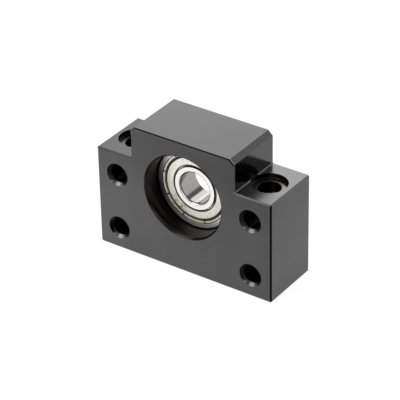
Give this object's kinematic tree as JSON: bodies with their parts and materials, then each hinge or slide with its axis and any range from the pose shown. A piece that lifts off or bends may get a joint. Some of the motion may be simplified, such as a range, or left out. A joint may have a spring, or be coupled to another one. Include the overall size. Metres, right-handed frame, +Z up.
{
  "type": "ball screw end support",
  "caption": "Hat-shaped steel block that carries the free end of a ball screw in a shielded ball bearing, bolted down through its shoulders or by its face.",
  "frame": {"origin": "middle of the base, half-way through the block's depth, straight below the shaft's axis", "axes": "+X along the base, +Y from the front face to the back face along the shaft's axis, +Z up"},
  "size_m": [0.06, 0.02, 0.043],
  "materials": {
    "block_steel": "machined steel with a satin black oxide finish",
    "ring_steel": "ground and polished bearing steel",
    "shield_steel": "pressed bright steel sheet",
    "cage_steel": "pressed steel sheet, riveted",
    "ball_steel": "polished"
  },
  "bodies": {
    "block": {"housing": "block_steel"},
    "bearing_outer": {"outer_ring": "ring_steel", "shield_front": "shield_steel", "shield_rear": "shield_steel"},
    "shaft_ring": {"inner_ring": "ring_steel"},
    "cage": {"cage_front": "cage_steel", "cage_rear": "cage_steel", "cage_rivets": "cage_steel"},
    "ball_1_body": {"ball_1": "ball_steel"},
    "ball_2_body": {"ball_2": "ball_steel"},
    "ball_3_body": {"ball_3": "ball_steel"},
    "ball_4_body": {"ball_4": "ball_steel"},
    "ball_5_body": {"ball_5": "ball_steel"},
    "ball_6_body": {"ball_6": "ball_steel"},
    "ball_7_body": {"ball_7": "ball_steel"}
  },
  "joints": [
    {"name": "bearing_float", "type": "slide", "parent": "block", "child": "bearing_outer", "axis": [0, 1, 0], "range_m": [-0.006, 0.006]},
    {"name": "shaft_spin", "type": "hinge", "parent": "bearing_outer", "child": "shaft_ring", "pos_m": [0, 0, 0.025], "axis": [0, 1, 0], "continuous": true},
    {"name": "cage_spin", "type": "hinge", "parent": "bearing_outer", "child": "cage", "pos_m": [0, 0, 0.025], "axis": [0, 1, 0], "continuous": true},
    {"name": "ball_1_spin", "type": "hinge", "parent": "cage", "child": "ball_1_body", "pos_m": [0, 0, 0.034], "axis": [0, 1, 0], "continuous": true},
    {"name": "ball_2_spin", "type": "hinge", "parent": "cage", "child": "ball_2_body", "pos_m": [-0.00704, 0, 0.03061], "axis": [0, 1, 0], "continuous": true},
    {"name": "ball_3_spin", "type": "hinge", "parent": "cage", "child": "ball_3_body", "pos_m": [-0.00877, 0, 0.023], "axis": [0, 1, 0], "continuous": true},
    {"name": "ball_4_spin", "type": "hinge", "parent": "cage", "child": "ball_4_body", "pos_m": [-0.00391, 0, 0.01689], "axis": [0, 1, 0], "continuous": true},
    {"name": "ball_5_spin", "type": "hinge", "parent": "cage", "child": "ball_5_body", "pos_m": [0.00391, 0, 0.01689], "axis": [0, 1, 0], "continuous": true},
    {"name": "ball_6_spin", "type": "hinge", "parent": "cage", "child": "ball_6_body", "pos_m": [0.00877, 0, 0.023], "axis": [0, 1, 0], "continuous": true},
    {"name": "ball_7_spin", "type": "hinge", "parent": "cage", "child": "ball_7_body", "pos_m": [0.00704, 0, 0.03061], "axis": [0, 1, 0], "continuous": true}
  ],
  "couplings": [
    {"joint": "cage_spin", "follows": "shaft_spin", "ratio": 0.36771},
    {"joint": "ball_1_spin", "follows": "shaft_spin", "ratio": -1.7575},
    {"joint": "ball_2_spin", "follows": "shaft_spin", "ratio": -1.7575},
    {"joint": "ball_3_spin", "follows": "shaft_spin", "ratio": -1.7575},
    {"joint": "ball_4_spin", "follows": "shaft_spin", "ratio": -1.7575},
    {"joint": "ball_5_spin", "follows": "shaft_spin", "ratio": -1.7575},
    {"joint": "ball_6_spin", "follows": "shaft_spin", "ratio": -1.7575},
    {"joint": "ball_7_spin", "follows": "shaft_spin", "ratio": -1.7575}
  ]
}
